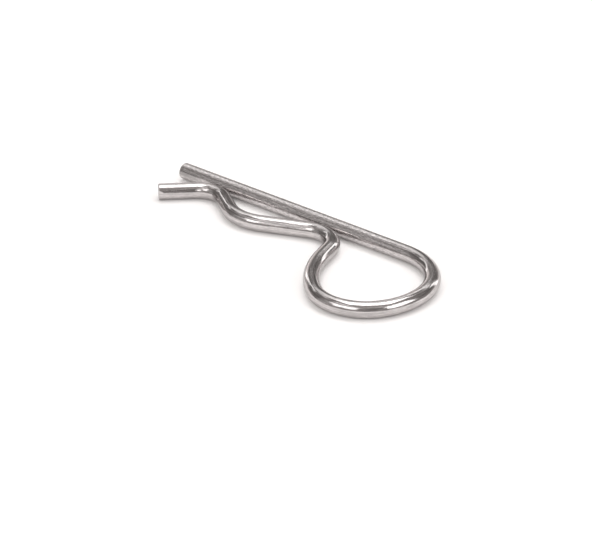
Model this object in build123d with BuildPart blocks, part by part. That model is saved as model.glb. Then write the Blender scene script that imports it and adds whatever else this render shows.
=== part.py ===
from build123d import *
from math import acos, atan2, cos, degrees, hypot, radians
import os

# Hitch R clip: one round spring wire bent flat, at its real size.
# The straight leg goes through the cross hole of a shaft, and the formed leg snaps over that shaft.
# Lengths are in mm and angles in degrees. Every bend radius runs to the wire's centreline.

# The wire, and the shaft that the clip locks
wire_d = 4.1
shaft_d = 19.0

# Straight leg, and the room that it leaves to both crests of the formed leg
leg_length = 72.4
leg_gap = 0.85

# Finger loop: a wide bend at the back, a tighter one at the front, and a slow one up to the neck
loop_back_r = 17.6
loop_back_turn = 119.0
loop_front_r = 12.4
loop_front_turn = 97.0
neck_r = 30.3
neck_length = 4.6

# Formed leg: throat, seat round the shaft, crest and flared tail, with straight flanks beside the seat
throat_r = 8.2
throat_flank_length = 12.0
crest_flank_length = 6.3
crest_r = 6.9
tail_flare = 46.0
tail_length = 9.0

# Cut ends: a broken edge round both, and the flat that the shear nips into the tail's outer side
edge_break = 0.2
nip_length = 1.4
nip_depth = 0.3

# Sizes that follow from those
half_turn = 180.0
wire_r = wire_d / 2
seat_r = shaft_d / 2 + wire_r
crest_depth = wire_d + leg_gap
nip_slope_length = hypot(nip_length, nip_depth)

# Depths of the loop's bend centres below the straight leg's axis
loop_turn = loop_back_turn + loop_front_turn
front_depth = loop_back_r - (loop_back_r - loop_front_r) * cos(radians(loop_back_turn))
neck_depth = front_depth - (loop_front_r - neck_r) * cos(radians(loop_turn))
overall_length = leg_length + loop_back_r + wire_r
loop_depth = front_depth + loop_front_r


def swing(bend_radii, straight_length, rise):
    """Turn of each bend of an S: two opposite bends and the straight between them step sideways by rise."""
    slant = hypot(bend_radii, straight_length)
    return degrees(acos((bend_radii - rise) / slant) - atan2(straight_length, bend_radii))


# Turns that bring both crests to their depth and the seat's centre onto the straight leg's axis
neck_swing = swing(neck_r + throat_r, neck_length, neck_depth + neck_r - crest_depth)
throat_swing = swing(throat_r + seat_r, throat_flank_length, seat_r - crest_depth)
crest_swing = swing(seat_r + crest_r, crest_flank_length, seat_r - crest_depth)
neck_turn = half_turn + neck_swing - loop_turn

# The clip lies flat, with the middle of its outline over the origin
bench = Plane((-overall_length / 2, loop_depth / 2, wire_r))

# One wire, swept from the straight leg's tip to the tail's end
with BuildPart() as clip:
    with BuildLine(bench) as route:
        leg = Line((0, 0), (leg_length, 0))
        loop_back = JernArc(leg @ 1, leg % 1, loop_back_r, -loop_back_turn)
        loop_front = JernArc(loop_back @ 1, loop_back % 1, loop_front_r, -loop_front_turn)
        neck_bend = JernArc(loop_front @ 1, loop_front % 1, neck_r, -neck_turn)
        neck = PolarLine(neck_bend @ 1, neck_length, direction=neck_bend % 1)
        throat = JernArc(neck @ 1, neck % 1, throat_r, neck_swing + throat_swing)
        throat_flank = PolarLine(throat @ 1, throat_flank_length, direction=throat % 1)
        seat = JernArc(throat_flank @ 1, throat_flank % 1, seat_r, -throat_swing - crest_swing)
        crest_flank = PolarLine(seat @ 1, crest_flank_length, direction=seat % 1)
        crest = JernArc(crest_flank @ 1, crest_flank % 1, crest_r, crest_swing + tail_flare)
        tail = PolarLine(crest @ 1, tail_length, direction=crest % 1)
    with BuildSketch(Plane(leg @ 0, z_dir=leg % 0)):
        Circle(wire_r)
    sweep()

    # Broken edges of the two cut ends
    fillet(clip.faces().filter_by(GeomType.PLANE).edges(), edge_break)

    # The shear's flat on the tail's outer side, square to the clip's own plane
    cut_end = Plane(tail @ 1, x_dir=-(tail % 1), z_dir=bench.z_dir)
    flat_middle = cut_end.from_local_coords((nip_length / 2, nip_depth / 2 - wire_r))
    flat_normal = cut_end.y_dir * -nip_length - cut_end.x_dir * nip_depth
    with BuildSketch(Plane(flat_middle, x_dir=bench.z_dir, z_dir=flat_normal)):
        Rectangle(wire_d, 2 * nip_slope_length)
    extrude(amount=nip_depth, mode=Mode.SUBTRACT)

clip.part.label = "r_clip"

os.makedirs("parts", exist_ok=True)
export_step(clip.part, "parts/r_clip.step")
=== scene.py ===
import math

import bpy
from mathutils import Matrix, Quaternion, Vector

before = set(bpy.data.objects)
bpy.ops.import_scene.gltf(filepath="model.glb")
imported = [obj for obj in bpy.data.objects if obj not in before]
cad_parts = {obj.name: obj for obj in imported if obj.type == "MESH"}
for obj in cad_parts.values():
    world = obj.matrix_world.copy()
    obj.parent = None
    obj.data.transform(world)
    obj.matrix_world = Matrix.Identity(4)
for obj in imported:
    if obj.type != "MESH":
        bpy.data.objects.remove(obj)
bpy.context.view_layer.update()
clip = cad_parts["r_clip"]
scene = bpy.context.scene

MM = 0.001
RISING = (0.0, 1.0)
FALLING = (1.0, 0.0)

# Places on the clip, in its own frame. A pair is where an effect starts and where it ends.
WIRE_D = 4.1 * MM
LEG_FRONT_Y = (13.7 * MM, 14.4 * MM)
LOOP_START_X = (20 * MM, 34 * MM)
# The painted dark reflection beside the leg's tip: where it ends, its height, and how far it reaches from that
# height
DARK_REFLECTION_END_X = (-42 * MM, -37 * MM)
DARK_REFLECTION_Z = 2.25 * MM
DARK_REFLECTION_REACH = (0.35 * MM, 0.95 * MM)
LEG_CUT_X = (-46.00 * MM, -45.95 * MM)
TAIL_CUT_DEPTH = 0.05 * MM
TAIL_FLARE = math.radians(46)
TAIL_WAY = Vector((-math.cos(TAIL_FLARE), -math.sin(TAIL_FLARE), 0))
TAIL_END = Vector((-42.2955, 2.7296, 0)) * MM

# The photograph's view: the camera's angles, and where a known point of the clip lands in its frame
VIEW_AZIMUTH = math.radians(41.491)
VIEW_ELEVATION = math.radians(25.347)
VIEW_DISTANCE = 0.943
FRAME_WIDTH = 592
FRAME_HEIGHT = 550
FOCAL_PIXELS = 3869.1
SENSOR = 36.0
CLIP_START = 0.01
CLIP_END = 100
SEEN_POINT = Vector((-5.025, 8.0605, 2.05)) * MM
SEEN_PIXEL = (285.23, 227.14)

RIGHT = Vector((math.cos(VIEW_AZIMUTH), math.sin(VIEW_AZIMUTH), 0))
NEAR = Vector((math.sin(VIEW_AZIMUTH), -math.cos(VIEW_AZIMUTH), 0))
UP = Vector((0, 0, 1))
BACK = NEAR * math.cos(VIEW_ELEVATION) + UP * math.sin(VIEW_ELEVATION)
TOP = BACK.cross(RIGHT)

# The steel's noise: scale, detail, roughness and offset. Lines and grain are drawn out along the wire.
LINES = ((45, 45, 5.0), 3.0, 0.6, (0, 0, 0))
FINE_LINES = ((260, 260, 9.0), 3.0, 0.6, (3.1, 1.7, 0.4))
GRAIN = ((1000, 1000, 9.0), 4.0, 0.75, (5.0, 2.0, 1.0))
TARNISH = ((90, 90, 150), 2.0, 0.5, (9.0, 4.0, 2.0))
TORN = ((2200, 2200, 900), 3.0, 0.65, (2.0, 7.0, 5.0))
LINES_SHARE = 0.5

# The steel's colours. A span is the noise over which a colour comes in, and a share is how far it comes in.
# The two shares of the flecks are for the plain wire and for the rubbed leg.
DARK_LINE = (0.47, 0.449, 0.447, 1)
BRIGHT_LINE = (0.73, 0.697, 0.694, 1)
LINE_SPAN = (0.42, 0.58)
RUBBED = (0.92, 0.879, 0.875, 1)
RUBBED_SHARE = 0.40
FLECK = (0.30, 0.287, 0.285, 1)
FLECK_SPAN = (0.44, 0.62)
FLECK_SHARE = (0.30, 0.85)
TARNISHED = (0.52, 0.492, 0.483, 1)
TARNISH_SPAN = (0.4, 0.7)
TARNISH_SHARE = (0.0, 0.25)
# The painted dark reflection next to the leg's tip: its colour, and the noise span and shares over which it
# comes in
PAINTED_DARK_REFLECTION = (0.28, 0.268, 0.266, 1)
DARK_REFLECTION_SPAN = (0.35, 0.60)
DARK_REFLECTION_SHARE = (0.60, 1.0)
TORN_DARK = (0.36, 0.344, 0.342, 1)
TORN_BRIGHT = (0.60, 0.573, 0.570, 1)
TORN_SPAN = (0.35, 0.65)
GRAZING_TINT = (0.72, 0.72, 0.72, 1)

# The steel's roughness, then its relief in metres. The grain has one for the plain wire and one for the leg.
LINE_ROUGH_SPAN = (0.36, 0.64)
LINE_ROUGH = (0.08, 0.20)
GRAIN_ROUGH_SPAN = (0.45, 0.75)
GRAIN_ROUGH = (0.0, 0.10)
RUBBED_ROUGH = 0.03
TORN_ROUGH = 0.22
LINE_RELIEF = 6e-6
GRAIN_RELIEF = (4e-6, 16e-6)
TORN_RELIEF = 40e-6

# The paper on the floor. Its own light falls to the lower strength where little of the sky is open.
FLOOR_HALF = 5.0
PAPER = (0.84, 0.830, 0.826, 1)
GLOW = (1, 0.97, 0.96, 1)
GLOW_STRENGTH = (0.08, 0.20)
OPEN_SPAN = (0.05, 0.30)
OPEN_REACH = 5 * MM
OPEN_SAMPLES = 8

# The room's light. Spans are of cosines: near and far to the camera's side, high, horizon and rise to straight
# up, dark and pale to ways of their own, which are an azimuth and an elevation.
ROOM = (1.0, 0.94, 0.915, 1)
NEAR_SPAN, NEAR_LIGHT = (-0.5, 0.8), (0.21, 0.36)
FAR_SPAN = (-0.2, -0.7)
HIGH_SPAN, HIGH_LIGHT = (0.45, 0.95), (0.0, 0.14)
HORIZON_SPAN, HORIZON_LIGHT = (0.06, 0.20), (0.65, 0.0)
DARK_WAY, DARK_SPAN, DARK_LIGHT = (8, 22), (0.90, 0.985), (0.0, -0.11)
PALE_WAY, PALE_SPAN = (-166, 10), (0.94, 0.99)
PALE_RISE_SPAN, PALE_LIGHT = (0.24, 0.36), (0.70, 0.0)

# Panels under the ceiling: right, near, wide and deep as shares of the ceiling's height, then radiance
LAMP_COLOUR = (1.0, 0.998, 0.992)
CEILING = 0.8
CEILING_PANELS = {
    "overhead": (0.105, -0.245, 0.79, 0.71, 3.15),
    "overhead_back": (0.13, -0.85, 0.50, 0.46, 0.55),
    "overhead_far": (0.25, -1.28, 0.60, 0.40, 0.40),
    "overhead_left": (-0.27, -1.10, 0.50, 1.00, 0.95),
    "overhead_side": (-0.64, -0.55, 0.24, 0.50, 0.40),
}

# Panels that face the clip: azimuth, elevation, wide and high in degrees, radiance, distance in metres and
# roll in degrees
SOFTBOXES = {
    "right": (61, 31, 40, 26, 2.2, 1.0, 16),
    "left": (-54, 34, 20, 20, 1.9, 1.0, 10),
    "left_high": (-71, 42, 12, 10, 1.0, 1.0, 0),
    "left_top": (-70, 61, 26, 9, 0.75, 1.0, 0),
    "left_near": (-22, 30, 20, 22, 1.6, 0.22, 0),
    "left_fill": (-46, 42, 50, 28, 0.42, 1.0, 0),
    "left_low": (-88, 22, 24, 42, 0.17, 1.0, 0),
    "rim_left": (-153, 18, 6, 32, 1.5, 1.0, 0),
    "rim_right": (132, 12, 9, 32, 2.2, 1.0, 0),
    "rim_far": (163, 5, 8, 9, 0.6, 1.0, 0),
    "strip_left": (-142, 33, 12, 5, 1.3, 1.0, 0),
    "strip_right": (156, 37, 32, 6, 1.1, 1.0, 0),
}


def direction(azimuth, elevation):
    """Unit vector from the clip: azimuth 0 is towards the photograph's camera, and 90 to its right."""
    a, e = math.radians(azimuth), math.radians(elevation)
    return (RIGHT * math.sin(a) + NEAR * math.cos(a)) * math.cos(e) + UP * math.sin(e)


def add_camera():
    """The photograph's camera, aimed so that the known point lands on its pixel."""
    metres_per_pixel = VIEW_DISTANCE / FOCAL_PIXELS
    across = (FRAME_WIDTH / 2 - SEEN_PIXEL[0]) * metres_per_pixel
    down = (FRAME_HEIGHT / 2 - SEEN_PIXEL[1]) * metres_per_pixel
    eye = SEEN_POINT + BACK * VIEW_DISTANCE
    aim = SEEN_POINT + RIGHT * across - TOP * down
    data = bpy.data.cameras.new("camera")
    data.sensor_fit = "HORIZONTAL"
    data.sensor_width = SENSOR
    data.lens = SENSOR * FOCAL_PIXELS / FRAME_WIDTH
    data.clip_start = CLIP_START
    data.clip_end = CLIP_END
    camera = bpy.data.objects.new("camera", data)
    camera.location = eye
    camera.rotation_mode = "QUATERNION"
    camera.rotation_quaternion = (aim - eye).to_track_quat("-Z", "Y")
    scene.collection.objects.link(camera)
    scene.camera = camera


def add_lamp(name, place, turn, wide, long, radiance):
    """A flat panel of even light, wide along its own X and long along its own Y, lighting down its own -Z."""
    data = bpy.data.lights.new(name, "AREA")
    data.shape = "RECTANGLE"
    data.size = wide
    data.size_y = long
    data.energy = radiance * math.pi * wide * long
    data.color = LAMP_COLOUR
    lamp = bpy.data.objects.new(name, data)
    lamp.location = place
    lamp.rotation_mode = "QUATERNION"
    lamp.rotation_quaternion = turn
    scene.collection.objects.link(lamp)


def add_ceiling(name, right, near, wide, deep, radiance):
    """A panel under the ceiling, placed and turned as the photograph's camera sees it."""
    place = (UP + RIGHT * right + NEAR * near) * CEILING
    turn = Quaternion(UP, VIEW_AZIMUTH)
    add_lamp(name, place, turn, wide * CEILING, deep * CEILING, radiance)


def add_softbox(name, azimuth, elevation, wide, high, radiance, distance, roll):
    """A panel that faces the clip: wide and high are the angles that it fills, seen from there."""
    towards = direction(azimuth, elevation)
    turn = (-towards).to_track_quat("-Z", "Y") @ Quaternion(UP, math.radians(roll))
    across = 2 * distance * math.tan(math.radians(wide) / 2)
    upwards = 2 * distance * math.tan(math.radians(high) / 2)
    add_lamp(name, towards * distance, turn, across, upwards, radiance)


class Nodes:
    """Short calls for making one node tree."""

    def __init__(self, tree):
        self.tree = tree
        tree.nodes.clear()

    def new(self, kind, **settings):
        node = self.tree.nodes.new(kind)
        for key, value in settings.items():
            setattr(node, key, value)
        return node

    def put(self, value, socket):
        if isinstance(value, bpy.types.NodeSocket):
            self.tree.links.new(value, socket)
        else:
            socket.default_value = value

    def math(self, operation, *values):
        node = self.new("ShaderNodeMath", operation=operation)
        for value, socket in zip(values, node.inputs):
            self.put(value, socket)
        return node.outputs[0]

    def add(self, total, *others):
        for other in others:
            total = self.math("ADD", total, other)
        return total

    def times(self, product, *others):
        for other in others:
            product = self.math("MULTIPLY", product, other)
        return product

    def dot(self, vector, fixed):
        node = self.new("ShaderNodeVectorMath", operation="DOT_PRODUCT")
        self.put(vector, node.inputs[0])
        self.put(tuple(fixed), node.inputs[1])
        return node.outputs["Value"]

    def spread(self, value, span, levels=RISING, smooth=False):
        """Maps the two ends of a span to two levels, and holds those beyond the ends."""
        node = self.new("ShaderNodeMapRange", clamp=True)
        node.interpolation_type = "SMOOTHSTEP" if smooth else "LINEAR"
        for item, socket in zip((value, *span, *levels), node.inputs):
            self.put(item, socket)
        return node.outputs[0]

    def split(self, vector):
        node = self.new("ShaderNodeSeparateXYZ")
        self.put(vector, node.inputs[0])
        return node.outputs

    def join(self, *values):
        node = self.new("ShaderNodeCombineXYZ")
        for value, socket in zip(values, node.inputs):
            self.put(value, socket)
        return node.outputs[0]

    def noise(self, coordinates, scale, detail, roughness, offset):
        mapping = self.new("ShaderNodeMapping")
        self.put(coordinates, mapping.inputs["Vector"])
        mapping.inputs["Scale"].default_value = scale
        mapping.inputs["Location"].default_value = offset
        node = self.new("ShaderNodeTexNoise")
        self.put(mapping.outputs[0], node.inputs["Vector"])
        node.inputs["Scale"].default_value = 1.0
        node.inputs["Detail"].default_value = detail
        node.inputs["Roughness"].default_value = roughness
        return node.outputs[0]

    def mix(self, factor, a, b):
        node = self.new("ShaderNodeMix", data_type="RGBA")
        self.put(factor, node.inputs["Factor"])
        self.put(a, node.inputs["A"])
        self.put(b, node.inputs["B"])
        return node.outputs["Result"]


def steel():
    """Bright drawn spring wire. The clip lies flat, so the height alone tells how far round the wire a point
    is, and noise that is fine in that turn and drawn out in X and Y makes lines that follow every bend."""
    material = bpy.data.materials.new("wire")
    material.use_nodes = True
    n = Nodes(material.node_tree)
    place = n.new("ShaderNodeTexCoord").outputs["Object"]
    x, y, z = n.split(place)
    turn = n.math("ARCCOSINE", n.spread(z, (0.0, WIRE_D), (-1.0, 1.0)))
    round_wire = n.join(x, y, turn)

    # The straight leg rubs in the shaft's hole, from its tip to the loop: brighter, but with more dark flecks
    leg = n.spread(y, LEG_FRONT_Y, smooth=True)
    rubbed = n.times(leg, n.spread(x, LOOP_START_X, FALLING, smooth=True))

    # A painted dark reflection runs along the leg's sides at mid-height, next to its tip
    from_middle = n.math("ABSOLUTE", n.math("SUBTRACT", z, DARK_REFLECTION_Z))
    painted_dark_reflection = n.times(
        n.spread(x, DARK_REFLECTION_END_X, FALLING, smooth=True),
        n.spread(from_middle, DARK_REFLECTION_REACH, FALLING, smooth=True),
        rubbed,
    )

    # The two end faces are sheared: the leg's tip faces -X, and the tail's end faces TAIL_WAY
    tail_reach = TAIL_WAY.dot(TAIL_END)
    tip = n.spread(x, LEG_CUT_X, FALLING)
    end = n.spread(n.dot(place, TAIL_WAY), (tail_reach - TAIL_CUT_DEPTH, tail_reach))
    cut = n.math("MAXIMUM", tip, end)
    torn = n.noise(place, *TORN)

    lines = n.noise(round_wire, *LINES)
    fine = n.noise(round_wire, *FINE_LINES)
    grain = n.noise(round_wire, *GRAIN)
    tarnish = n.noise(place, *TARNISH)
    streak = n.add(n.times(lines, LINES_SHARE), n.times(fine, 1 - LINES_SHARE))

    roughness = n.add(
        n.spread(streak, LINE_ROUGH_SPAN, LINE_ROUGH),
        n.spread(grain, GRAIN_ROUGH_SPAN, GRAIN_ROUGH),
        n.times(rubbed, RUBBED_ROUGH),
        n.times(cut, TORN_ROUGH),
    )

    flecks = n.times(n.spread(grain, FLECK_SPAN), n.spread(rubbed, RISING, FLECK_SHARE))
    colour = n.mix(n.spread(streak, LINE_SPAN), DARK_LINE, BRIGHT_LINE)
    colour = n.mix(n.times(rubbed, RUBBED_SHARE), colour, RUBBED)
    colour = n.mix(flecks, colour, FLECK)
    colour = n.mix(n.spread(tarnish, TARNISH_SPAN, TARNISH_SHARE), colour, TARNISHED)
    # Painted dark reflection next to the leg's tip
    colour = n.mix(n.times(painted_dark_reflection, n.spread(fine, DARK_REFLECTION_SPAN, DARK_REFLECTION_SHARE)), colour, PAINTED_DARK_REFLECTION)
    colour = n.mix(cut, colour, n.mix(n.spread(torn, TORN_SPAN), TORN_DARK, TORN_BRIGHT))

    relief = n.add(
        n.times(streak, LINE_RELIEF),
        n.times(grain, n.spread(rubbed, RISING, GRAIN_RELIEF)),
        n.times(torn, n.times(cut, TORN_RELIEF)),
    )
    bump = n.new("ShaderNodeBump")
    bump.inputs["Strength"].default_value = 1.0
    bump.inputs["Distance"].default_value = 1.0
    n.put(relief, bump.inputs["Height"])

    shader = n.new("ShaderNodeBsdfPrincipled")
    shader.inputs["Metallic"].default_value = 1.0
    shader.inputs["Specular Tint"].default_value = GRAZING_TINT
    n.put(colour, shader.inputs["Base Color"])
    n.put(roughness, shader.inputs["Roughness"])
    n.put(bump.outputs[0], shader.inputs["Normal"])
    out = n.new("ShaderNodeOutputMaterial")
    n.put(shader.outputs[0], out.inputs["Surface"])
    return material


def paper():
    """White paper: plain diffuse, with a little light of its own where the camera, metal or glass sees it.
    In narrow gaps that light is dimmer."""
    material = bpy.data.materials.new("paper")
    material.use_nodes = True
    n = Nodes(material.node_tree)
    path = n.new("ShaderNodeLightPath")
    seen = n.math("MAXIMUM", path.outputs["Is Camera Ray"], path.outputs["Is Glossy Ray"])
    seen = n.math("MAXIMUM", seen, path.outputs["Is Transmission Ray"])
    openness = n.new("ShaderNodeAmbientOcclusion", samples=OPEN_SAMPLES)
    openness.inputs["Distance"].default_value = OPEN_REACH
    strength = n.spread(openness.outputs["AO"], OPEN_SPAN, GLOW_STRENGTH)
    diffuse = n.new("ShaderNodeBsdfDiffuse")
    diffuse.inputs["Color"].default_value = PAPER
    lift = n.new("ShaderNodeEmission")
    lift.inputs["Color"].default_value = GLOW
    n.put(n.times(seen, strength), lift.inputs["Strength"])
    both = n.new("ShaderNodeAddShader")
    n.put(diffuse.outputs[0], both.inputs[0])
    n.put(lift.outputs[0], both.inputs[1])
    out = n.new("ShaderNodeOutputMaterial")
    n.put(both.outputs[0], out.inputs["Surface"])
    return material


def add_floor():
    """One square of paper under the clip."""
    mesh = bpy.data.meshes.new("floor")
    corners = [(-1, -1), (1, -1), (1, 1), (-1, 1)]
    mesh.from_pydata([(a * FLOOR_HALF, b * FLOOR_HALF, 0) for a, b in corners], [], [(0, 1, 2, 3)])
    floor = bpy.data.objects.new("floor", mesh)
    mesh.materials.append(paper())
    scene.collection.objects.link(floor)


def add_room():
    """Dim studio: lighter towards the camera and overhead, with a dark patch round the camera. Low behind the
    clip there is a pale horizon and one pale patch."""
    world = bpy.data.worlds.new("studio")
    world.use_nodes = True
    scene.world = world
    n = Nodes(world.node_tree)
    look = n.new("ShaderNodeTexCoord").outputs["Generated"]
    facing, rise = n.dot(look, NEAR), n.dot(look, UP)
    near = n.spread(facing, NEAR_SPAN, NEAR_LIGHT, smooth=True)
    dark = n.spread(n.dot(look, direction(*DARK_WAY)), DARK_SPAN, DARK_LIGHT, smooth=True)
    high = n.spread(rise, HIGH_SPAN, HIGH_LIGHT, smooth=True)
    far = n.spread(facing, FAR_SPAN, smooth=True)
    horizon = n.times(n.spread(rise, HORIZON_SPAN, HORIZON_LIGHT, smooth=True), far)
    patch = n.spread(n.dot(look, direction(*PALE_WAY)), PALE_SPAN, smooth=True)
    pale = n.times(n.spread(rise, PALE_RISE_SPAN, PALE_LIGHT, smooth=True), patch)
    background = n.new("ShaderNodeBackground")
    n.put(n.add(near, dark, high, horizon, pale), background.inputs["Strength"])
    background.inputs["Color"].default_value = ROOM
    out = n.new("ShaderNodeOutputWorld")
    n.put(background.outputs[0], out.inputs["Surface"])


clip.data.materials.clear()
clip.data.materials.append(steel())
add_floor()
add_room()
for name, row in CEILING_PANELS.items():
    add_ceiling(name, *row)
for name, row in SOFTBOXES.items():
    add_softbox(name, *row)
add_camera()

scene.view_settings.view_transform = "Standard"
